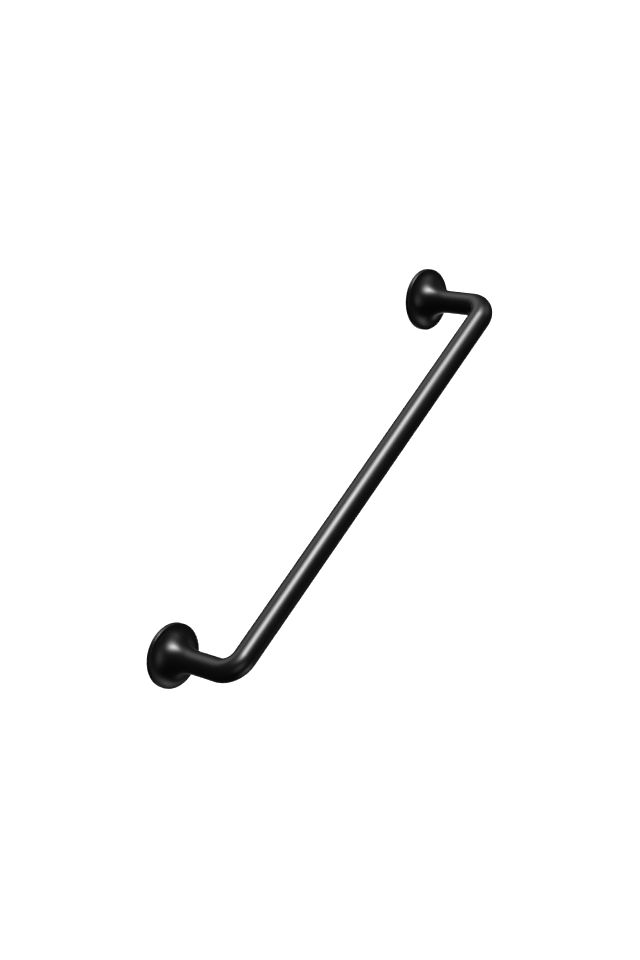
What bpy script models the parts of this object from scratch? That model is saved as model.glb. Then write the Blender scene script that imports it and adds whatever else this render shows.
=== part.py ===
"""Wall-mounted grab bar: one bent tube, held at each end by a plate under a sliding trumpet cover.

Metres, +Z up. The bar runs along X, the wall is the plane y = 0 and the room is on its -Y side.
The origin is on the wall, midway between the two legs. The pieces at each end are built around
their leg's axis: their local +Z is the distance from the wall, and the end's empty turns it to -Y.
"""

import math

import bmesh
import bpy
from mathutils import Vector

# Driving dimensions
CENTRES = 0.610
TUBE_DIAMETER = 0.030
TUBE_WALL = 0.0015
PROJECTION = 0.107
BEND_RADIUS = 0.025
COVER_DIAMETER = 0.082
COVER_HEIGHT = 0.043
COVER_WALL = 0.0012
NECK_WALL = 0.0006
RIM_HEIGHT = 0.0063
RIM_FILLET = 0.0012
GAP = 0.0003
BOSS_EASE = 0.0001

# Fixings, as bought: countersunk M6 screw, M6 grub screws, 5 mm wall screws
SCREW_RADIUS = 0.0030
SCREW_HEAD_RADIUS = 0.00565
SCREW_HEAD_EDGE = 0.0003
SCREW_LENGTH = 0.016
SCREW_SOCKET_RADIUS = 0.0023
SCREW_SOCKET_DEPTH = 0.0020
GRUB_LENGTH = 0.0062
GRUB_CHAMFER = 0.0005
GRUB_SOCKET_RADIUS = 0.0017
GRUB_SOCKET_DEPTH = 0.0025
WALL_HOLE_RADIUS = 0.00275
WALL_HEAD_RADIUS = 0.00525
WALL_HOLES_RADIUS = 0.025
WALL_HOLE_ANGLES = (90, 210, 330)
GRUB_ANGLES = (30, 150, 270)
GRUB_OFFSET = 0.006
GRUB_RECESS = 0.0001
HEX_SIDES = 6

# Plate, gasket and rings
GASKET_THICKNESS = 0.0010
GASKET_BORE_RADIUS = 0.012
GASKET_RADIUS = 0.036
GASKET_HOLE_RADIUS = 0.0035
PLATE_THICKNESS = 0.0035
PLATE_RADIUS = 0.0384
GROOVE_DEPTH = 0.0012
SNAP_SECTION_RADIUS = 0.0010
BOSS_LENGTH = 0.021
BOSS_CHAMFER = 0.0010
BOSS_HOLE_DEPTH = 0.0140
BOSS_HOLE_TIP = 0.0015
GUIDE_TURNS = (18, 26, 34)

# Heights from the wall and radii that follow from the dimensions above
TUBE_RADIUS = TUBE_DIAMETER / 2
BORE_RADIUS = TUBE_RADIUS - TUBE_WALL
COVER_RADIUS = COVER_DIAMETER / 2
COVER_BORE_RADIUS = TUBE_RADIUS + GAP
PLATE_BACK = GASKET_THICKNESS + GAP
PLATE_FRONT = PLATE_BACK + PLATE_THICKNESS
BOSS_BACK = PLATE_FRONT + GAP
BOSS_RADIUS = BORE_RADIUS - GAP - BOSS_EASE
GRUB_HEIGHT = BOSS_BACK + GRUB_OFFSET
GRUB_HOLE_RADIUS = SCREW_RADIUS + GAP
GRUB_OUTER_END = TUBE_RADIUS - GAP - GRUB_RECESS
GRUB_INNER_END = GRUB_OUTER_END - GRUB_LENGTH
LEG_END = PROJECTION - BEND_RADIUS
HOLE_CLEARANCE = 0.010

# Facets around each kind of piece
TUBE_SIDES = 32
BEND_STEPS = 9
COVER_SIDES = 40
FLARE_STEPS = 9
FILLET_STEPS = 3
RING_SIDES = 36
SCREW_SIDES = 16
SECTION_SIDES = 8
SHARP_ANGLE = math.radians(30)


def clear_scene():
    for obj in list(bpy.data.objects):
        bpy.data.objects.remove(obj)


def material(name, colour, roughness, metallic):
    made = bpy.data.materials.new(name)
    made.use_nodes = True
    shader = made.node_tree.nodes["Principled BSDF"]
    shader.inputs["Base Color"].default_value = (*colour, 1)
    shader.inputs["Roughness"].default_value = roughness
    shader.inputs["Metallic"].default_value = metallic
    made.diffuse_color = (*colour, 1)
    return made


def add_object(name, mesh_builder, parent, finish):
    """Turns a bmesh into a named object with smooth shading and one material."""
    bmesh.ops.recalc_face_normals(mesh_builder, faces=mesh_builder.faces)
    mesh = bpy.data.meshes.new(name)
    mesh_builder.to_mesh(mesh)
    mesh_builder.free()
    mesh.shade_smooth()
    mesh.set_sharp_from_angle(angle=SHARP_ANGLE)
    if finish:
        mesh.materials.append(finish)
    obj = bpy.data.objects.new(name, mesh)
    bpy.context.collection.objects.link(obj)
    obj.parent = parent
    return obj


def hide_cutter(obj):
    obj.hide_render = True
    obj.display_type = "WIRE"
    return obj


def cut(target, cutter):
    modifier = target.modifiers.new(cutter.name, "BOOLEAN")
    modifier.operation = "DIFFERENCE"
    modifier.solver = "EXACT"
    modifier.object = cutter


def bridge(builder, ring_a, ring_b):
    """Joins two rings of vertices; a ring of one vertex is a pole."""
    count = max(len(ring_a), len(ring_b))
    for i in range(count):
        j = (i + 1) % count
        corners = [ring_a[i % len(ring_a)], ring_b[i % len(ring_b)]]
        if len(ring_b) > 1:
            corners.append(ring_b[j])
        if len(ring_a) > 1:
            corners.append(ring_a[j])
        builder.faces.new(corners)


def turn(builder, outline, sides, place=lambda point: point):
    """Turns an outline of (radius, height) around the local Z axis.

    An outline whose ends lie on the axis is solid there; any other outline closes on itself.
    """
    rings = []
    for radius, height in outline:
        count = sides if radius > 0 else 1
        turns = [2 * math.pi * i / sides for i in range(count)]
        points = [(radius * math.cos(a), radius * math.sin(a), height) for a in turns]
        rings.append([builder.verts.new(place(Vector(point))) for point in points])
    for ring_a, ring_b in zip(rings, rings[1:]):
        bridge(builder, ring_a, ring_b)
    if outline[0][0] > 0:
        bridge(builder, rings[-1], rings[0])


def turned(name, outline, sides, parent, finish=None):
    builder = bmesh.new()
    turn(builder, outline, sides)
    return add_object(name, builder, parent, finish)


def rod_outline(radius, bottom, top):
    return [(0, bottom), (radius, bottom), (radius, top), (0, top)]


def polar(radius, degrees, height):
    angle = math.radians(degrees)
    return Vector((radius * math.cos(angle), radius * math.sin(angle), height))


def radial_frame(degrees, height):
    """Maps a local +Z rod to a radial one that leaves the leg's axis at this angle and height."""
    outward = polar(1, degrees, 0)
    sideways = Vector((-outward.y, outward.x, 0))
    return lambda p: outward * p.z + sideways * p.x + Vector((0, 0, height + p.y))


def standing_frame(degrees):
    """Moves a local +Z rod out to the wall holes' circle."""
    offset = polar(WALL_HOLES_RADIUS, degrees, 0)
    return lambda p: p + offset


def group(name, outline, sides, frames, parent):
    """One cutter made of the same turned outline in several places."""
    builder = bmesh.new()
    for frame in frames:
        turn(builder, outline, sides, frame)
    return hide_cutter(add_object(name, builder, parent, None))


def bar_stations():
    """(x, y, heading) along the bar's centre line, from the left leg's end to the right leg's."""
    half = CENTRES / 2
    past_holes = GRUB_HEIGHT + HOLE_CLEARANCE
    leg_down = [(-half, -height, -math.pi / 2) for height in (BOSS_BACK, past_holes)]
    bends = []
    for centre_x, start in ((-half + BEND_RADIUS, -math.pi / 2), (half - BEND_RADIUS, 0)):
        for step in range(BEND_STEPS + 1):
            heading = start + math.pi / 2 * step / BEND_STEPS
            x = centre_x + BEND_RADIUS * math.sin(heading)
            y = -LEG_END - BEND_RADIUS * math.cos(heading)
            bends.append((x, y, heading))
    leg_up = [(half, -height, math.pi / 2) for height in (past_holes, BOSS_BACK)]
    return leg_down + bends + leg_up


def station_ring(builder, station, radius):
    x, y, heading = station
    sideways = Vector((math.sin(heading), -math.cos(heading), 0))
    ring = []
    for i in range(TUBE_SIDES):
        angle = 2 * math.pi * i / TUBE_SIDES
        offset = sideways * math.cos(angle) + Vector((0, 0, math.sin(angle)))
        ring.append(builder.verts.new(Vector((x, y, 0)) + radius * offset))
    return ring


def build_bar_tube(finish):
    builder = bmesh.new()
    stations = bar_stations()
    skins = [[station_ring(builder, s, radius) for s in stations] for radius in (TUBE_RADIUS, BORE_RADIUS)]
    for rings in skins:
        for ring_a, ring_b in zip(rings, rings[1:]):
            bridge(builder, ring_a, ring_b)
    outer, inner = skins
    bridge(builder, outer[0], inner[0])
    bridge(builder, outer[-1], inner[-1])
    return add_object("bar_tube", builder, None, finish)


def flare_point(turn_angle, depth):
    """A point of the cover's flare, a quarter ellipse from the neck (0) to the rim (90 degrees).

    depth is how far inside the outer skin the point lies.
    """
    width = COVER_RADIUS - RIM_FILLET - (COVER_BORE_RADIUS + NECK_WALL)
    height = COVER_HEIGHT - RIM_HEIGHT
    cosine, sine = math.cos(turn_angle), math.sin(turn_angle)
    normal = Vector((height * cosine, width * sine)).normalized()
    radius = COVER_RADIUS - RIM_FILLET - width * cosine - depth * normal.x
    return radius, COVER_HEIGHT - height * sine - depth * normal.y


def flare_wall(turn_angle):
    """The spun shell thins towards its neck."""
    return NECK_WALL + (COVER_WALL - NECK_WALL) * math.sin(turn_angle)


def cover_outline():
    turns = [math.pi / 2 * i / FLARE_STEPS for i in range(FLARE_STEPS + 1)]
    outer_face = [flare_point(angle, 0) for angle in turns]
    rounds = [math.pi / 2 * (1 - i / FILLET_STEPS) for i in range(1, FILLET_STEPS + 1)]
    fillet_radius = COVER_RADIUS - RIM_FILLET
    fillet_height = RIM_HEIGHT - RIM_FILLET
    fillet = [
        (fillet_radius + RIM_FILLET * math.cos(a), fillet_height + RIM_FILLET * math.sin(a)) for a in rounds
    ]
    wall_edge = [(COVER_RADIUS, GAP), (COVER_RADIUS - COVER_WALL, GAP)]
    inner_corner = [(COVER_RADIUS - COVER_WALL, fillet_height - RIM_FILLET / 2)]
    inner_face = [flare_point(angle, flare_wall(angle)) for angle in reversed(turns)]
    return outer_face + fillet + wall_edge + inner_corner + inner_face


def guide_ring_outline():
    """Fills part of the cover's throat: it follows the flare inside the shell and clears the tube."""
    turns = [math.radians(degrees) for degrees in GUIDE_TURNS]
    outer = [flare_point(angle, flare_wall(angle) + 2 * GAP) for angle in turns]
    bore = COVER_BORE_RADIUS + GAP / 2
    return [(bore, outer[0][1]), *outer, (bore, outer[-1][1])]


def build_gasket(side, leg, finish):
    outline = [
        (GASKET_BORE_RADIUS, 0),
        (GASKET_RADIUS, 0),
        (GASKET_RADIUS, GASKET_THICKNESS),
        (GASKET_BORE_RADIUS, GASKET_THICKNESS),
    ]
    gasket = turned(f"{side}_wall_gasket", outline, RING_SIDES, leg, finish)
    hole = rod_outline(GASKET_HOLE_RADIUS, -GASKET_THICKNESS, 2 * GASKET_THICKNESS)
    frames = [standing_frame(angle) for angle in WALL_HOLE_ANGLES]
    cut(gasket, group(f"{side}_gasket_holes", hole, SCREW_SIDES, frames, leg))


def build_plate(side, leg, finish):
    head = SCREW_HEAD_RADIUS + GAP
    bore = SCREW_RADIUS + GAP
    cone_start = PLATE_BACK + GAP + SCREW_HEAD_EDGE
    groove_back = PLATE_BACK + PLATE_THICKNESS / 2 - SNAP_SECTION_RADIUS - GAP / 2
    groove_front = PLATE_BACK + PLATE_THICKNESS / 2 + SNAP_SECTION_RADIUS + GAP / 2
    outline = [
        (head, PLATE_BACK),
        (head, cone_start),
        (bore, cone_start + head - bore),
        (bore, PLATE_FRONT),
        (PLATE_RADIUS, PLATE_FRONT),
        (PLATE_RADIUS, groove_front),
        (PLATE_RADIUS - GROOVE_DEPTH, groove_front),
        (PLATE_RADIUS - GROOVE_DEPTH, groove_back),
        (PLATE_RADIUS, groove_back),
        (PLATE_RADIUS, PLATE_BACK),
    ]
    plate = turned(f"{side}_wall_plate", outline, RING_SIDES, leg, finish)
    sink_depth = WALL_HEAD_RADIUS - WALL_HOLE_RADIUS
    hole = [
        (0, PLATE_BACK - GAP),
        (WALL_HOLE_RADIUS, PLATE_BACK - GAP),
        (WALL_HOLE_RADIUS, PLATE_FRONT - sink_depth),
        (WALL_HEAD_RADIUS + GAP, PLATE_FRONT + GAP),
        (0, PLATE_FRONT + GAP),
    ]
    frames = [standing_frame(angle) for angle in WALL_HOLE_ANGLES]
    cut(plate, group(f"{side}_plate_holes", hole, SCREW_SIDES, frames, leg))


def build_boss(side, leg, finish, grub_holes):
    bore = SCREW_RADIUS + GAP
    hole_end = BOSS_BACK + BOSS_HOLE_DEPTH
    front = BOSS_BACK + BOSS_LENGTH
    outline = [
        (0, hole_end + BOSS_HOLE_TIP),
        (bore, hole_end),
        (bore, BOSS_BACK),
        (BOSS_RADIUS, BOSS_BACK),
        (BOSS_RADIUS, front - BOSS_CHAMFER),
        (BOSS_RADIUS - BOSS_CHAMFER, front),
        (0, front),
    ]
    cut(turned(f"{side}_boss", outline, TUBE_SIDES, leg, finish), grub_holes)


def build_boss_screw(side, leg, finish):
    back = PLATE_BACK + GAP
    cone_start = back + SCREW_HEAD_EDGE
    tip = back + SCREW_LENGTH
    outline = [
        (0, back),
        (SCREW_HEAD_RADIUS, back),
        (SCREW_HEAD_RADIUS, cone_start),
        (SCREW_RADIUS, cone_start + SCREW_HEAD_RADIUS - SCREW_RADIUS),
        (SCREW_RADIUS, tip - GRUB_CHAMFER),
        (SCREW_RADIUS - GRUB_CHAMFER, tip),
        (0, tip),
    ]
    screw = turned(f"{side}_boss_screw", outline, SCREW_SIDES, leg, finish)
    socket = rod_outline(SCREW_SOCKET_RADIUS, back - GAP, back + SCREW_SOCKET_DEPTH)
    cut(screw, hide_cutter(turned(f"{side}_boss_screw_socket", socket, HEX_SIDES, leg)))


def build_grub_screws(side, leg, finish):
    chamfered = SCREW_RADIUS - GRUB_CHAMFER
    outline = [
        (0, GRUB_INNER_END),
        (chamfered, GRUB_INNER_END),
        (SCREW_RADIUS, GRUB_INNER_END + GRUB_CHAMFER),
        (SCREW_RADIUS, GRUB_OUTER_END - GRUB_CHAMFER),
        (chamfered, GRUB_OUTER_END),
        (0, GRUB_OUTER_END),
    ]
    socket = rod_outline(GRUB_SOCKET_RADIUS, GRUB_OUTER_END - GRUB_SOCKET_DEPTH, GRUB_OUTER_END + GAP)
    for number, angle in enumerate(GRUB_ANGLES, 1):
        frame = radial_frame(angle, GRUB_HEIGHT)
        builder = bmesh.new()
        turn(builder, outline, SCREW_SIDES, frame)
        screw = add_object(f"{side}_grub_screw_{number}", builder, leg, finish)
        cut(screw, group(f"{side}_grub_socket_{number}", socket, HEX_SIDES, [frame], leg))


def build_snap_ring(side, leg, finish):
    centre_radius = COVER_RADIUS - COVER_WALL - GAP - SNAP_SECTION_RADIUS
    centre_height = PLATE_BACK + PLATE_THICKNESS / 2
    turns = [2 * math.pi * i / SECTION_SIDES for i in range(SECTION_SIDES)]
    outline = [
        (
            centre_radius + SNAP_SECTION_RADIUS * math.cos(angle),
            centre_height + SNAP_SECTION_RADIUS * math.sin(angle),
        )
        for angle in turns
    ]
    turned(f"{side}_snap_ring", outline, RING_SIDES, leg, finish)


def build_end(side, direction, bar_tube, finishes):
    leg = bpy.data.objects.new(f"{side}_leg_axis", None)
    bpy.context.collection.objects.link(leg)
    leg.location = (direction * CENTRES / 2, 0, 0)
    leg.rotation_euler = (math.pi / 2, 0, 0)

    hole = rod_outline(GRUB_HOLE_RADIUS, GRUB_INNER_END - GAP, TUBE_RADIUS + TUBE_WALL)
    frames = [radial_frame(angle, GRUB_HEIGHT) for angle in GRUB_ANGLES]
    grub_holes = group(f"{side}_grub_holes", hole, SCREW_SIDES, frames, leg)
    cut(bar_tube, grub_holes)

    build_gasket(side, leg, finishes["rubber"])
    build_plate(side, leg, finishes["steel"])
    build_boss(side, leg, finishes["aluminium"], grub_holes)
    build_boss_screw(side, leg, finishes["steel"])
    build_grub_screws(side, leg, finishes["steel"])
    build_snap_ring(side, leg, finishes["rubber"])
    turned(f"{side}_cover", cover_outline(), COVER_SIDES, leg, finishes["coat"])
    turned(f"{side}_guide_ring", guide_ring_outline(), RING_SIDES, leg, finishes["nylon"])


def main():
    clear_scene()
    finishes = {
        "coat": material("satin_black_coat", (0.012, 0.012, 0.012), 0.36, 0.0),
        "steel": material("bare_steel", (0.42, 0.42, 0.41), 0.35, 1.0),
        "aluminium": material("turned_aluminium", (0.60, 0.61, 0.62), 0.30, 1.0),
        "rubber": material("black_rubber", (0.018, 0.018, 0.018), 0.75, 0.0),
        "nylon": material("natural_nylon", (0.62, 0.60, 0.54), 0.50, 0.0),
    }
    bar_tube = build_bar_tube(finishes["coat"])
    build_end("left", -1, bar_tube, finishes)
    build_end("right", 1, bar_tube, finishes)


main()
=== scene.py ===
"""Looks of the wall-mounted grab bar: fine geometry, finishes, studio light and camera.

Metres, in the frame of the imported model: the bar runs along X, the wall is y = 0, the room is on
its -Y side and +Z is up. Pieces at each end are built around their leg's axis, with local +Z as
the distance from the wall, and keep that axis as their own object's Z.
"""

import math

import bmesh
import bpy
from mathutils import Matrix, Vector


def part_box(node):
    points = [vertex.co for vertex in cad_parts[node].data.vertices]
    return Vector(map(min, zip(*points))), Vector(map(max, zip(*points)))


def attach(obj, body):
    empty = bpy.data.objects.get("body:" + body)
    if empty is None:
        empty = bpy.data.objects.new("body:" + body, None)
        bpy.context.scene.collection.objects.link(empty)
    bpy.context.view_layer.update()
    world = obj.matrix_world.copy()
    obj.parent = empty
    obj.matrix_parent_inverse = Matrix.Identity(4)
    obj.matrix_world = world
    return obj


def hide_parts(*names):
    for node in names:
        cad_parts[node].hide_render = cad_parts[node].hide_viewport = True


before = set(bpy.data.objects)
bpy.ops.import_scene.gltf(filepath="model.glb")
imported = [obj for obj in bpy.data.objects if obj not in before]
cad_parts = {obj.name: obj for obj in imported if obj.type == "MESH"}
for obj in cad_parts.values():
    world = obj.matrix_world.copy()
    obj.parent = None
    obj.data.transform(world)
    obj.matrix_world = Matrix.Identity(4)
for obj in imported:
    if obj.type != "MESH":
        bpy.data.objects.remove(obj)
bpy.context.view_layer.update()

# Sizes read from the frame
TUBE_LOW, TUBE_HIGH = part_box("bar_tube")
COVER_LOW, COVER_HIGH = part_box("left_cover")
PLATE_LOW, PLATE_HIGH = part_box("left_wall_plate")
GASKET_LOW, GASKET_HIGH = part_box("left_wall_gasket")
BOSS_LOW, BOSS_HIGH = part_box("left_boss")
SCREW_LOW, SCREW_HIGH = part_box("left_boss_screw")
GRUB_LOW, GRUB_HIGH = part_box("left_grub_screw_3")
SNAP_LOW, SNAP_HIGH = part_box("left_snap_ring")

TUBE_RADIUS = TUBE_HIGH.z
LEG_X = TUBE_HIGH.x - TUBE_RADIUS
PROJECTION = -TUBE_LOW.y - TUBE_RADIUS
TUBE_END = -TUBE_HIGH.y
COVER_RADIUS = COVER_HIGH.z
COVER_EDGE = -COVER_HIGH.y
COVER_HEIGHT = -COVER_LOW.y
PLATE_RADIUS = PLATE_HIGH.z
PLATE_BACK = -PLATE_HIGH.y
PLATE_FRONT = -PLATE_LOW.y
GASKET_RADIUS = GASKET_HIGH.z
GASKET_FRONT = -GASKET_LOW.y
BOSS_RADIUS = BOSS_HIGH.z
BOSS_BACK = -BOSS_HIGH.y
BOSS_FRONT = -BOSS_LOW.y
SCREW_HEAD_RADIUS = SCREW_HIGH.z
SCREW_BACK = -SCREW_HIGH.y
SCREW_TIP = -SCREW_LOW.y
GRUB_HEIGHT = -(GRUB_HIGH.y + GRUB_LOW.y) / 2
GRUB_INNER_END = -GRUB_HIGH.z
GRUB_OUTER_END = -GRUB_LOW.z
SNAP_RADIUS = SNAP_HIGH.z
SNAP_MIDDLE = -(SNAP_HIGH.y + SNAP_LOW.y) / 2
SNAP_SECTION = (SNAP_HIGH.y - SNAP_LOW.y) / 2

# Sizes that a box can't give. GAP is the clearance between fitted pieces. FEATHER is the much
# smaller one that the cover's neck keeps from the tube. EASE rounds the edges of small pieces.
GAP = 0.0003
BEND_RADIUS = 0.025
TUBE_WALL = 0.0015
GRUB_STRETCH = 0.012
LEG_MIDDLE_SHARE = 0.6
COVER_WALL = 0.0012
RIM_HEIGHT = 0.0063
RIM_FILLET = 0.0012
NECK_WALL = 0.0006
FEATHER = 0.00003
NECK_RADIUS = TUBE_RADIUS + 2 * FEATHER
GUIDE_BORE_RADIUS = TUBE_RADIUS + 1.5 * GAP
GUIDE_TURNS = (22, 34)
GASKET_BORE_RADIUS = 0.012
GASKET_HOLE_RADIUS = 0.0035
GASKET_RIB = 0.00015
GASKET_RIB_PITCH = 0.0024
PLATE_GROOVE_DEPTH = 0.0012
WALL_HOLE_RADIUS = 0.00275
WALL_HEAD_RADIUS = 0.00525
WALL_HOLES_RADIUS = 0.025
WALL_HOLE_ANGLES = (90, 210, 330)
BOSS_CHAMFER = 0.0010
BOSS_HOLE_DEPTH = 0.0140
BOSS_HOLE_TIP = 0.0015
GRUB_ANGLES = (30, 150, 270)
GRUB_SOCKET_RADIUS = 0.0017
GRUB_SOCKET_DEPTH = 0.0025
GRUB_CUP_DEPTH = 0.0005
SCREW_RADIUS = 0.0030
SCREW_HEAD_EDGE = 0.0003
SCREW_CHAMFER = 0.0005
SCREW_SOCKET_RADIUS = 0.0023
SCREW_SOCKET_DEPTH = 0.0020
THREAD_PITCH = 0.0010
THREAD_DEPTH = 0.0005
THREAD_STEEPNESS = 2.4
EASE = 0.0002
EASE_SIDE_LIMIT = 2.2

# Facets
ROUND_SIDES = 144
SMALL_SIDES = 48
HEX_SIDES = 6
BEND_STEPS = 40
FLARE_STEPS = 40
CORNER_STEPS = 4
FILLET_STEPS = 8
THREAD_STEPS = 8
RIB_STEPS = 6
SNAP_STEPS = 24
SHARP_ANGLE = math.radians(35)


# Shape tools


def new_object(name, builder, place=Matrix.Identity(4)):
    """Makes an object whose mesh stays in its own axes and whose matrix puts it in the frame."""
    bmesh.ops.recalc_face_normals(builder, faces=builder.faces)
    mesh = bpy.data.meshes.new(name)
    builder.to_mesh(mesh)
    builder.free()
    obj = bpy.data.objects.new(name, mesh)
    bpy.context.scene.collection.objects.link(obj)
    obj.matrix_world = place
    smooth(obj)
    return obj


def smooth(obj):
    """Shades an object smooth, and keeps edges sharper than SHARP_ANGLE crisp."""
    obj.data.shade_smooth()
    obj.data.set_sharp_from_angle(angle=SHARP_ANGLE)


def bridge(builder, ring_a, ring_b):
    """Joins two rings of vertices; a ring of one vertex is a pole."""
    count = max(len(ring_a), len(ring_b))
    for i in range(count):
        j = (i + 1) % count
        corners = [ring_a[i % len(ring_a)], ring_b[i % len(ring_b)]]
        if len(ring_b) > 1:
            corners.append(ring_b[j])
        if len(ring_a) > 1:
            corners.append(ring_a[j])
        builder.faces.new(corners)


def turn(builder, outline, sides, place=Matrix.Identity(4)):
    """Turns an outline of (radius, height) around local Z.

    It closes on itself unless its ends are on the axis.
    """
    rings = []
    for radius, height in outline:
        count = sides if radius > 0 else 1
        angles = [2 * math.pi * i / sides for i in range(count)]
        points = [Vector((radius * math.cos(a), radius * math.sin(a), height)) for a in angles]
        rings.append([builder.verts.new(place @ point) for point in points])
    for ring_a, ring_b in zip(rings, rings[1:]):
        bridge(builder, ring_a, ring_b)
    if outline[0][0] > 0:
        bridge(builder, rings[-1], rings[0])


def turned(name, outline, sides, place):
    """Makes an object of one outline turned around its own Z."""
    builder = bmesh.new()
    turn(builder, outline, sides)
    return new_object(name, builder, place)


def eased(outline, radius):
    """Rounds every corner of an outline that isn't on the axis with a short curve."""
    on_axis = outline[0][0] == 0
    softened = []
    for i, corner in enumerate(outline):
        if on_axis and i in (0, len(outline) - 1):
            softened.append(corner)
            continue
        here = Vector(corner)
        before = Vector(outline[i - 1]) - here
        after = Vector(outline[(i + 1) % len(outline)]) - here
        reach = min(radius, before.length / EASE_SIDE_LIMIT, after.length / EASE_SIDE_LIMIT)
        start = here + before.normalized() * reach
        end = here + after.normalized() * reach
        for step in range(CORNER_STEPS + 1):
            share = step / CORNER_STEPS
            softened.append(tuple(start.lerp(here, share).lerp(here.lerp(end, share), share)))
    return softened


def arc(centre, radius, start, end, steps):
    """Points of an arc from one angle in degrees to another, both ends included."""
    angles = [math.radians(start + (end - start) * i / steps) for i in range(steps + 1)]
    return [(centre[0] + radius * math.cos(a), centre[1] + radius * math.sin(a)) for a in angles]


def rod(radius, bottom, top):
    """The outline of a plain cylinder."""
    return [(0, bottom), (radius, bottom), (radius, top), (0, top)]


def leg_place(direction):
    """Local +Z is the distance from the wall along this leg's axis."""
    return Matrix.Translation((direction * LEG_X, 0, 0)) @ Matrix.Rotation(math.pi / 2, 4, "X")


def grub_places():
    """Local +Z points out of the leg's axis, once for each grub screw."""
    height = Matrix.Translation((0, 0, GRUB_HEIGHT))
    spins = [Matrix.Rotation(math.radians(degrees), 4, "Z") for degrees in GRUB_ANGLES]
    return [height @ spin @ Matrix.Rotation(math.pi / 2, 4, "Y") for spin in spins]


def wall_hole_places():
    """Local +Z stands on the wall screws' circle, once for each of their holes."""
    spins = [Matrix.Rotation(math.radians(degrees), 4, "Z") for degrees in WALL_HOLE_ANGLES]
    return [spin @ Matrix.Translation((WALL_HOLES_RADIUS, 0, 0)) for spin in spins]


def cut_away(obj, outline, sides, places, frame_place):
    """Cuts the same turned outline out of an object in several places."""
    builder = bmesh.new()
    for place in places:
        turn(builder, outline, sides, place)
    cutter = new_object(f"{obj.name}.cutter", builder, frame_place)
    modifier = obj.modifiers.new("holes", "BOOLEAN")
    modifier.operation = "DIFFERENCE"
    modifier.solver = "EXACT"
    modifier.object = cutter
    bpy.context.view_layer.update()
    evaluated = obj.evaluated_get(bpy.context.evaluated_depsgraph_get())
    obj.data = bpy.data.meshes.new_from_object(evaluated)
    obj.modifiers.clear()
    bpy.data.objects.remove(cutter)
    smooth(obj)


def finish_piece(obj, finishes, slot, body, node):
    """Gives a fine piece its finish and puts it in its CAD node's place."""
    obj.data.materials.clear()
    obj.data.materials.append(finishes[slot])
    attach(obj, body)
    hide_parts(node)


# Bar tube


def bar_stations():
    """(x, y, heading) along the bar's centre line, from the left leg's end to the right leg's.

    Each leg has a ring past its grub screws and one further on, so that no facet is very long.
    """
    leg_end = PROJECTION - BEND_RADIUS
    lengths = [TUBE_END, GRUB_HEIGHT + GRUB_STRETCH, leg_end * LEG_MIDDLE_SHARE]
    stations = [(-LEG_X, -length, -math.pi / 2) for length in lengths]
    for centre_x, start in ((-LEG_X + BEND_RADIUS, -math.pi / 2), (LEG_X - BEND_RADIUS, 0)):
        for step in range(BEND_STEPS + 1):
            heading = start + math.pi / 2 * step / BEND_STEPS
            x = centre_x + BEND_RADIUS * math.sin(heading)
            stations.append((x, -leg_end - BEND_RADIUS * math.cos(heading), heading))
    stations += [(LEG_X, -length, math.pi / 2) for length in reversed(lengths)]
    return stations


def station_ring(builder, station, radius):
    """A ring of vertices square to the centre line at one station."""
    x, y, heading = station
    sideways = Vector((math.sin(heading), -math.cos(heading), 0))
    ring = []
    for i in range(ROUND_SIDES):
        angle = 2 * math.pi * i / ROUND_SIDES
        offset = sideways * math.cos(angle) + Vector((0, 0, math.sin(angle)))
        ring.append(builder.verts.new(Vector((x, y, 0)) + radius * offset))
    return ring


def build_bar_tube(finishes):
    builder = bmesh.new()
    stations = bar_stations()
    skins = []
    for radius in (TUBE_RADIUS, TUBE_RADIUS - TUBE_WALL):
        skins.append([station_ring(builder, station, radius) for station in stations])
    for rings in skins:
        for ring_a, ring_b in zip(rings, rings[1:]):
            bridge(builder, ring_a, ring_b)
    outer, inner = skins
    bridge(builder, outer[0], inner[0])
    bridge(builder, outer[-1], inner[-1])
    tube = new_object("bar_tube_fine", builder)
    hole = rod(SCREW_RADIUS + GAP, GRUB_INNER_END, TUBE_RADIUS + TUBE_WALL)
    for direction in (-1, 1):
        cut_away(tube, hole, SMALL_SIDES, grub_places(), leg_place(direction))
    finish_piece(tube, finishes, "satin_black", "bar", "bar_tube")


# Cover and the ring in its throat


def flare_wall(turn_angle):
    """The spun shell thins towards its neck."""
    return NECK_WALL + (COVER_WALL - NECK_WALL) * math.sin(turn_angle)


def flare_point(turn_angle, depth):
    """A point of the cover's flare, a quarter ellipse from the neck (0) to the rim (90 degrees)."""
    width = COVER_RADIUS - RIM_FILLET - NECK_RADIUS
    height = COVER_HEIGHT - RIM_HEIGHT
    cosine, sine = math.cos(turn_angle), math.sin(turn_angle)
    normal = Vector((height * cosine, width * sine)).normalized()
    radius = COVER_RADIUS - RIM_FILLET - width * cosine - depth * normal.x
    return radius, COVER_HEIGHT - height * sine - depth * normal.y


def cover_outline():
    """The shell's neck feathers out on the tube, so that no step shows there."""
    turns = [math.pi / 2 * i / FLARE_STEPS for i in range(FLARE_STEPS + 1)]
    outer_face = [flare_point(angle, 0) for angle in turns]
    corner = (COVER_RADIUS - RIM_FILLET, RIM_HEIGHT - RIM_FILLET)
    fillet = arc(corner, RIM_FILLET, 90, 0, FILLET_STEPS)[1:]
    edge = COVER_WALL / 2
    wall_edge = arc((COVER_RADIUS - edge, COVER_EDGE + edge), edge, 0, -180, FILLET_STEPS)
    inner_corner = [(COVER_RADIUS - COVER_WALL, RIM_HEIGHT - COVER_WALL - RIM_FILLET / 2)]
    inner_face = [flare_point(angle, flare_wall(angle)) for angle in reversed(turns)]
    clear = TUBE_RADIUS + FEATHER
    inner_face = [(max(radius, clear), height) for radius, height in inner_face]
    return outer_face + fillet + wall_edge + inner_corner + inner_face


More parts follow.
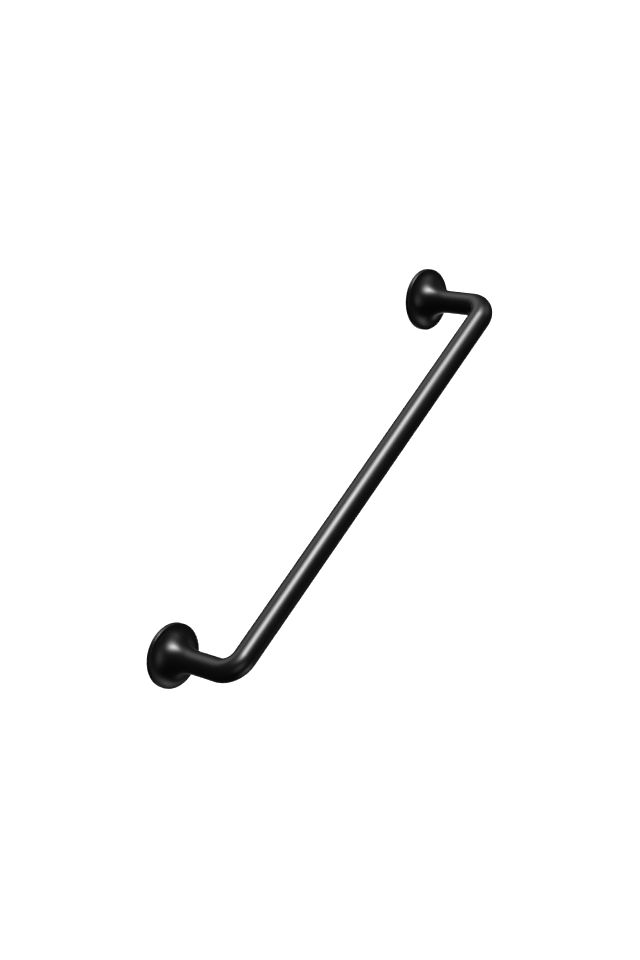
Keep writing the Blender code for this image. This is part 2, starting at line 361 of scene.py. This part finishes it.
def guide_ring_outline():
    """Fills part of the cover's throat, just inside the shell."""
    start, end = (math.radians(degrees) for degrees in GUIDE_TURNS)
    turns = [start + (end - start) * i / FILLET_STEPS for i in range(FILLET_STEPS + 1)]
    outer = [flare_point(angle, flare_wall(angle) + GAP) for angle in turns]
    return [(GUIDE_BORE_RADIUS, outer[0][1]), *outer, (GUIDE_BORE_RADIUS, outer[-1][1])]


def build_cover(side, place, finishes):
    cover = turned(f"{side}_cover_fine", cover_outline(), ROUND_SIDES, place)
    finish_piece(cover, finishes, "satin_black", f"{side}_cover_set", f"{side}_cover")


def build_guide_ring(side, place, finishes):
    ring = turned(f"{side}_guide_ring_fine", eased(guide_ring_outline(), EASE), ROUND_SIDES, place)
    finish_piece(ring, finishes, "natural_nylon", f"{side}_cover_set", f"{side}_guide_ring")


# Fixings


def build_gasket(side, place, finishes):
    """A moulded ring with shallow ribs on the face that the plate presses."""
    face = GASKET_FRONT - GASKET_RIB
    outline = [(GASKET_BORE_RADIUS, 0), (GASKET_RADIUS, 0), (GASKET_RADIUS, face)]
    radius = GASKET_RADIUS - GASKET_RIB_PITCH / 4
    while radius - GASKET_RIB_PITCH > GASKET_BORE_RADIUS:
        crest = radius - GASKET_RIB_PITCH / 4
        valley = radius - GASKET_RIB_PITCH * 3 / 4
        outline += arc((crest, face), GASKET_RIB, 0, 180, RIB_STEPS)
        outline.append((valley, face))
        radius -= GASKET_RIB_PITCH
    outline.append((GASKET_BORE_RADIUS, face))
    gasket = turned(f"{side}_wall_gasket_fine", outline, ROUND_SIDES, place)
    hole = rod(GASKET_HOLE_RADIUS, -GAP, GASKET_FRONT + GAP)
    cut_away(gasket, hole, SMALL_SIDES, wall_hole_places(), place)
    finish_piece(gasket, finishes, "black_rubber", "bar", f"{side}_wall_gasket")


def build_plate(side, place, finishes):
    head = SCREW_HEAD_RADIUS + GAP
    bore = SCREW_RADIUS + GAP
    cone_start = PLATE_BACK + GAP + SCREW_HEAD_EDGE
    groove_half = SNAP_SECTION + GAP / 2
    groove_radius = PLATE_RADIUS - PLATE_GROOVE_DEPTH
    outline = [
        (head, PLATE_BACK),
        (head, cone_start),
        (bore, cone_start + head - bore),
        (bore, PLATE_FRONT),
        (PLATE_RADIUS, PLATE_FRONT),
        (PLATE_RADIUS, SNAP_MIDDLE + groove_half),
        (groove_radius, SNAP_MIDDLE + groove_half),
        (groove_radius, SNAP_MIDDLE - groove_half),
        (PLATE_RADIUS, SNAP_MIDDLE - groove_half),
        (PLATE_RADIUS, PLATE_BACK),
    ]
    plate = turned(f"{side}_wall_plate_fine", eased(outline, EASE), ROUND_SIDES, place)
    hole = [
        (0, PLATE_BACK - GAP),
        (WALL_HOLE_RADIUS, PLATE_BACK - GAP),
        (WALL_HOLE_RADIUS, PLATE_FRONT - (WALL_HEAD_RADIUS - WALL_HOLE_RADIUS)),
        (WALL_HEAD_RADIUS + GAP, PLATE_FRONT + GAP),
        (0, PLATE_FRONT + GAP),
    ]
    cut_away(plate, hole, SMALL_SIDES, wall_hole_places(), place)
    finish_piece(plate, finishes, "bare_steel", "bar", f"{side}_wall_plate")


def build_boss(side, place, finishes):
    bore = SCREW_RADIUS + GAP
    hole_end = BOSS_BACK + BOSS_HOLE_DEPTH
    outline = [
        (0, hole_end + BOSS_HOLE_TIP),
        (bore, hole_end),
        (bore, BOSS_BACK),
        (BOSS_RADIUS, BOSS_BACK),
        (BOSS_RADIUS, BOSS_FRONT - BOSS_CHAMFER),
        (BOSS_RADIUS - BOSS_CHAMFER, BOSS_FRONT),
        (0, BOSS_FRONT),
    ]
    boss = turned(f"{side}_boss_fine", eased(outline, EASE), ROUND_SIDES, place)
    hole = rod(bore, GRUB_INNER_END - GAP, TUBE_RADIUS)
    cut_away(boss, hole, SMALL_SIDES, grub_places(), place)
    finish_piece(boss, finishes, "turned_aluminium", "bar", f"{side}_boss")


def thread_radius(height, angle):
    """A V thread, once in each pitch; a steepness over 2 leaves a narrow flat at its root."""
    phase = (height / THREAD_PITCH - angle / (2 * math.pi)) % 1
    return SCREW_RADIUS - THREAD_DEPTH * min(1, THREAD_STEEPNESS * min(phase, 1 - phase))


def threaded(builder, below, bottom, top, above):
    """A solid around the axis: an outline, a threaded stretch and an outline back to the axis."""
    steps = round((top - bottom) / THREAD_PITCH * THREAD_STEPS)
    stretch = [(None, bottom + (top - bottom) * step / steps) for step in range(steps + 1)]
    angles = [2 * math.pi * i / SMALL_SIDES for i in range(SMALL_SIDES)]
    rings = []
    for radius, height in below + stretch + above:
        if radius == 0:
            points = [(0, 0, height)]
        else:
            radii = [radius or thread_radius(height, angle) for angle in angles]
            points = [(r * math.cos(a), r * math.sin(a), height) for r, a in zip(radii, angles)]
        rings.append([builder.verts.new(point) for point in points])
    for ring_a, ring_b in zip(rings, rings[1:]):
        bridge(builder, ring_a, ring_b)


def build_boss_screw(side, place, finishes):
    """A countersunk M6 screw with a hex socket, its head in the back of the plate."""
    cone_start = SCREW_BACK + SCREW_HEAD_EDGE
    root = SCREW_RADIUS - THREAD_DEPTH
    cone_end = cone_start + SCREW_HEAD_RADIUS - SCREW_RADIUS
    below = [
        (0, SCREW_BACK),
        (SCREW_HEAD_RADIUS - EASE / 2, SCREW_BACK),
        (SCREW_HEAD_RADIUS, SCREW_BACK + EASE / 2),
        (SCREW_HEAD_RADIUS, cone_start),
        (SCREW_RADIUS, cone_end),
    ]
    above = [(root - EASE, SCREW_TIP), (0, SCREW_TIP)]
    builder = bmesh.new()
    threaded(builder, below, cone_end + SCREW_CHAMFER, SCREW_TIP - SCREW_CHAMFER, above)
    screw = new_object(f"{side}_boss_screw_fine", builder, place)
    socket = rod(SCREW_SOCKET_RADIUS, SCREW_BACK - GAP, SCREW_BACK + SCREW_SOCKET_DEPTH)
    cut_away(screw, socket, HEX_SIDES, [Matrix.Identity(4)], place)
    finish_piece(screw, finishes, "bare_steel", "bar", f"{side}_boss_screw")


def build_grub_screws(side, place, finishes):
    """M6 grub screws with a hex socket at the outer end and a cup point at the inner one."""
    point = SCREW_RADIUS - THREAD_DEPTH - EASE
    cup = [(0, GRUB_INNER_END + GRUB_CUP_DEPTH), (point - GRUB_CUP_DEPTH, GRUB_INNER_END)]
    below = [*cup, (point, GRUB_INNER_END)]
    above = [(point, GRUB_OUTER_END), (0, GRUB_OUTER_END)]
    socket = rod(GRUB_SOCKET_RADIUS, GRUB_OUTER_END - GRUB_SOCKET_DEPTH, GRUB_OUTER_END + GAP)
    thread_start = GRUB_INNER_END + SCREW_CHAMFER
    thread_end = GRUB_OUTER_END - SCREW_CHAMFER
    for number, grub_place in enumerate(grub_places(), 1):
        builder = bmesh.new()
        threaded(builder, below, thread_start, thread_end, above)
        screw_place = place @ grub_place
        screw = new_object(f"{side}_grub_screw_{number}_fine", builder, screw_place)
        cut_away(screw, socket, HEX_SIDES, [Matrix.Identity(4)], screw_place)
        finish_piece(screw, finishes, "bare_steel", "bar", f"{side}_grub_screw_{number}")


def build_snap_ring(side, place, finishes):
    """A moulded O-ring in the plate's groove."""
    section = arc((SNAP_RADIUS - SNAP_SECTION, SNAP_MIDDLE), SNAP_SECTION, 0, 360, SNAP_STEPS)[:-1]
    ring = turned(f"{side}_snap_ring_fine", section, ROUND_SIDES, place)
    finish_piece(ring, finishes, "black_rubber", "bar", f"{side}_snap_ring")


# Finishes. Noise mostly stays within NOISE_MIDDLE, so that is the range that gets spread out.

NOISE_MIDDLE = (0.3, 0.7)


def add_math(tree, operation, first, second=0.0):
    """Adds a math node to a tree; each input is a number or another node's output."""
    node = tree.nodes.new("ShaderNodeMath")
    node.operation = operation
    for socket, value in zip(node.inputs, (first, second)):
        if isinstance(value, bpy.types.NodeSocket):
            tree.links.new(value, socket)
        else:
            socket.default_value = value
    return node.outputs[0]


class Finish:
    """A Principled material with colour, roughness and bump from noise in the piece's own axes."""

    def __init__(self, name, metallic=0.0):
        self.material = bpy.data.materials.new(name)
        self.material.use_nodes = True
        self.tree = self.material.node_tree
        self.nodes = self.tree.nodes
        self.links = self.tree.links
        self.shader = self.nodes["Principled BSDF"]
        self.shader.inputs["Metallic"].default_value = metallic
        self.place = self.nodes.new("ShaderNodeTexCoord").outputs["Object"]

    def around_axis(self):
        """Coordinates that only change with the radius and the height, as a lathe's marks do."""
        parts = self.nodes.new("ShaderNodeSeparateXYZ")
        self.links.new(self.place, parts.inputs[0])
        across = add_math(self.tree, "MULTIPLY", parts.outputs["X"], parts.outputs["X"])
        along = add_math(self.tree, "MULTIPLY", parts.outputs["Y"], parts.outputs["Y"])
        radius = add_math(self.tree, "SQRT", add_math(self.tree, "ADD", across, along))
        joined = self.nodes.new("ShaderNodeCombineXYZ")
        self.links.new(radius, joined.inputs["X"])
        self.links.new(parts.outputs["Z"], joined.inputs["Z"])
        return joined.outputs[0]

    def noise(self, grain, detail=2.0, vector=None):
        """Noise from 0 to 1 with grains of about this size in metres."""
        node = self.nodes.new("ShaderNodeTexNoise")
        node.inputs["Scale"].default_value = 1 / grain
        node.inputs["Detail"].default_value = detail
        self.links.new(vector or self.place, node.inputs["Vector"])
        return node.outputs["Fac"]

    def spread(self, value, low, high):
        """Maps the middle of the noise's range to the values from low to high."""
        node = self.nodes.new("ShaderNodeMapRange")
        node.inputs["From Min"].default_value = NOISE_MIDDLE[0]
        node.inputs["From Max"].default_value = NOISE_MIDDLE[1]
        node.inputs["To Min"].default_value = low
        node.inputs["To Max"].default_value = high
        self.links.new(value, node.inputs["Value"])
        return node.outputs["Result"]

    def colour(self, value, dark, light):
        """Mixes the base colour between two colours by the noise."""
        node = self.nodes.new("ShaderNodeMix")
        node.data_type = "RGBA"
        node.inputs["A"].default_value = (*dark, 1)
        node.inputs["B"].default_value = (*light, 1)
        self.links.new(self.spread(value, 0, 1), node.inputs["Factor"])
        self.links.new(node.outputs["Result"], self.shader.inputs["Base Color"])

    def roughness(self, value, low, high):
        self.links.new(self.spread(value, low, high), self.shader.inputs["Roughness"])

    def bump(self, *layers):
        """Layers are (noise, depth in metres), stacked."""
        normal = None
        for value, depth in layers:
            node = self.nodes.new("ShaderNodeBump")
            node.inputs["Distance"].default_value = depth
            self.links.new(value, node.inputs["Height"])
            if normal:
                self.links.new(normal, node.inputs["Normal"])
            normal = node.outputs["Normal"]
        self.links.new(normal, self.shader.inputs["Normal"])


def satin_black():
    """Powder coat: near black, slightly uneven in gloss, with a faint fine orange peel."""
    finish = Finish("satin_black_coat")
    finish.colour(finish.noise(0.018, 3), (0.0020, 0.0020, 0.0021), (0.0034, 0.0034, 0.0034))
    finish.roughness(finish.noise(0.030, 3), 0.235, 0.275)
    finish.bump((finish.noise(0.0016), 0.000012), (finish.noise(0.0004), 0.000002))
    return finish.material


def bare_steel():
    """Zinc-plated turned steel with a slightly cloudy passivation."""
    finish = Finish("zinc_plated_steel", metallic=0.85)
    lathe = finish.around_axis()
    finish.colour(finish.noise(0.006, 4), (0.50, 0.50, 0.48), (0.64, 0.65, 0.66))
    finish.roughness(finish.noise(0.00035, 3, lathe), 0.38, 0.55)
    finish.bump((finish.noise(0.00025, 3, lathe), 0.000012), (finish.noise(0.0008), 0.000004))
    return finish.material


def turned_aluminium():
    """Bright aluminium with regular lathe rings."""
    finish = Finish("lathe_turned_aluminium", metallic=1.0)
    lathe = finish.around_axis()
    finish.colour(finish.noise(0.0006, 2, lathe), (0.68, 0.69, 0.70), (0.80, 0.81, 0.82))
    finish.roughness(finish.noise(0.0004, 2, lathe), 0.28, 0.42)
    finish.bump((finish.noise(0.0003, 2, lathe), 0.000020))
    return finish.material


def black_rubber():
    """Matt moulded rubber with a dusty bloom."""
    finish = Finish("moulded_rubber")
    finish.colour(finish.noise(0.004, 4), (0.014, 0.014, 0.014), (0.026, 0.026, 0.027))
    finish.roughness(finish.noise(0.002, 3), 0.68, 0.84)
    finish.bump((finish.noise(0.0004, 3), 0.000020))
    return finish.material


def natural_nylon():
    """Off-white moulded nylon, faintly uneven and a little waxy."""
    finish = Finish("moulded_nylon")
    finish.colour(finish.noise(0.008, 3), (0.60, 0.57, 0.49), (0.68, 0.66, 0.59))
    finish.roughness(finish.noise(0.001, 3), 0.42, 0.55)
    finish.bump((finish.noise(0.0006, 3), 0.000015))
    finish.shader.inputs["Subsurface Weight"].default_value = 0.15
    finish.shader.inputs["Subsurface Scale"].default_value = 0.001
    return finish.material


# Soft lights as (azimuth, elevation, tightness, strength), with the angles in degrees. They are
# directions in the surround. Azimuth 0 is on the room's side (-Y) and 90 past the bar's right end
# (+X); a higher tightness makes a smaller light. The key is a long strip, high in the room to the
# right: three equal lights and a wider glow. AMBIENT is the surround's own even light.

KEY_AZIMUTHS = (30, 55, 80)
KEY_STRIP = [(azimuth, 62, 60, 10.0) for azimuth in KEY_AZIMUTHS]
KEY_GLOW = (55, 58, 20, 8.0)
BACK_LIGHT = (145, 40, 15, 1.5)
RIGHT_FILL = (60, 10, 20, 0.8)
LEFT_FILL = (-25, 15, 20, 0.8)
FRONT_BOUNCE = (-10, -55, 30, 1.2)
BACK_BOUNCE = (150, -50, 20, 0.5)
SOFT_LIGHTS = [*KEY_STRIP, KEY_GLOW, BACK_LIGHT, RIGHT_FILL, LEFT_FILL, FRONT_BOUNCE, BACK_BOUNCE]
AMBIENT = 0.03
WHITE = (1.0, 1.0, 1.0, 1.0)
FLOOR_SIZE = 40.0
FLOOR_DEPTH = 0.9


def towards(azimuth, elevation):
    """The unit vector from the bar towards a light."""
    turn_angle, lift = math.radians(azimuth), math.radians(elevation)
    level = math.cos(lift)
    return Vector((math.sin(turn_angle) * level, -math.cos(turn_angle) * level, math.sin(lift)))


def build_world():
    """Soft round lights on a dark surround, which the camera sees as a pale room."""
    world = bpy.data.worlds.new("studio")
    bpy.context.scene.world = world
    world.use_nodes = True
    tree = world.node_tree
    nodes, links = tree.nodes, tree.links
    nodes.clear()
    direction = nodes.new("ShaderNodeTexCoord").outputs["Generated"]
    total = AMBIENT
    for azimuth, elevation, tightness, strength in SOFT_LIGHTS:
        aim = nodes.new("ShaderNodeVectorMath")
        aim.operation = "DOT_PRODUCT"
        aim.inputs[1].default_value = towards(azimuth, elevation)
        links.new(direction, aim.inputs[0])
        off_axis = add_math(tree, "SUBTRACT", aim.outputs["Value"], 1.0)
        falloff = add_math(tree, "EXPONENT", add_math(tree, "MULTIPLY", off_axis, tightness))
        total = add_math(tree, "ADD", add_math(tree, "MULTIPLY", falloff, strength), total)

    room = nodes.new("ShaderNodeBackground")
    room.inputs["Color"].default_value = WHITE
    links.new(total, room.inputs["Strength"])
    seen = nodes.new("ShaderNodeBackground")
    seen.inputs["Color"].default_value = WHITE
    mix = nodes.new("ShaderNodeMixShader")
    links.new(nodes.new("ShaderNodeLightPath").outputs["Is Camera Ray"], mix.inputs["Fac"])
    links.new(room.outputs[0], mix.inputs[1])
    links.new(seen.outputs[0], mix.inputs[2])
    links.new(mix.outputs[0], nodes.new("ShaderNodeOutputWorld").inputs["Surface"])


def build_floor():
    """A pale floor well below the bar, which lights nothing."""
    builder = bmesh.new()
    bmesh.ops.create_grid(builder, x_segments=1, y_segments=1, size=FLOOR_SIZE / 2)
    floor = new_object("floor", builder, Matrix.Translation((0, 0, -FLOOR_DEPTH)))
    pale = bpy.data.materials.new("pale_floor")
    pale.use_nodes = True
    shader = pale.node_tree.nodes["Principled BSDF"]
    shader.inputs["Base Color"].default_value = WHITE
    shader.inputs["Roughness"].default_value = 1.0
    shader.inputs["Specular IOR Level"].default_value = 0.0
    floor.data.materials.append(pale)
    floor.visible_glossy = False
    floor.visible_diffuse = False
    floor.visible_shadow = False


# Camera. It stands in the room, left of the bar's middle and above it. At azimuth 0 it would look
# straight at the wall (+Y), and at 90 along the bar (+X).

AIM = Vector((-0.0157, -0.0401, 0.0035))
CAMERA_AZIMUTH = math.radians(31.5)
CAMERA_ELEVATION = math.radians(38.8)
CAMERA_ROLL = math.radians(-33.8)
CAMERA_DISTANCE = 2.32
LENS = 69.1
SENSOR_WIDTH = 36.0


def build_camera():
    forward = Vector(
        (
            math.sin(CAMERA_AZIMUTH) * math.cos(CAMERA_ELEVATION),
            math.cos(CAMERA_AZIMUTH) * math.cos(CAMERA_ELEVATION),
            -math.sin(CAMERA_ELEVATION),
        )
    )
    level = Vector((math.cos(CAMERA_AZIMUTH), -math.sin(CAMERA_AZIMUTH), 0))
    upright = level.cross(forward)
    right = level * math.cos(CAMERA_ROLL) + upright * math.sin(CAMERA_ROLL)
    up = right.cross(forward)
    data = bpy.data.cameras.new("camera")
    data.lens = LENS
    data.sensor_width = SENSOR_WIDTH
    data.sensor_fit = "AUTO"
    camera = bpy.data.objects.new("camera", data)
    bpy.context.scene.collection.objects.link(camera)
    turn_matrix = Matrix((right, up, -forward)).transposed().to_4x4()
    camera.matrix_world = Matrix.Translation(AIM - forward * CAMERA_DISTANCE) @ turn_matrix
    bpy.context.scene.camera = camera


def main():
    finishes = {
        "satin_black": satin_black(),
        "bare_steel": bare_steel(),
        "turned_aluminium": turned_aluminium(),
        "black_rubber": black_rubber(),
        "natural_nylon": natural_nylon(),
    }
    build_bar_tube(finishes)
    for side, direction in (("left", -1), ("right", 1)):
        place = leg_place(direction)
        build_gasket(side, place, finishes)
        build_plate(side, place, finishes)
        build_boss(side, place, finishes)
        build_boss_screw(side, place, finishes)
        build_grub_screws(side, place, finishes)
        build_snap_ring(side, place, finishes)
        build_guide_ring(side, place, finishes)
        build_cover(side, place, finishes)
    build_floor()
    build_world()
    build_camera()
    bpy.context.scene.view_settings.view_transform = "Standard"


main()
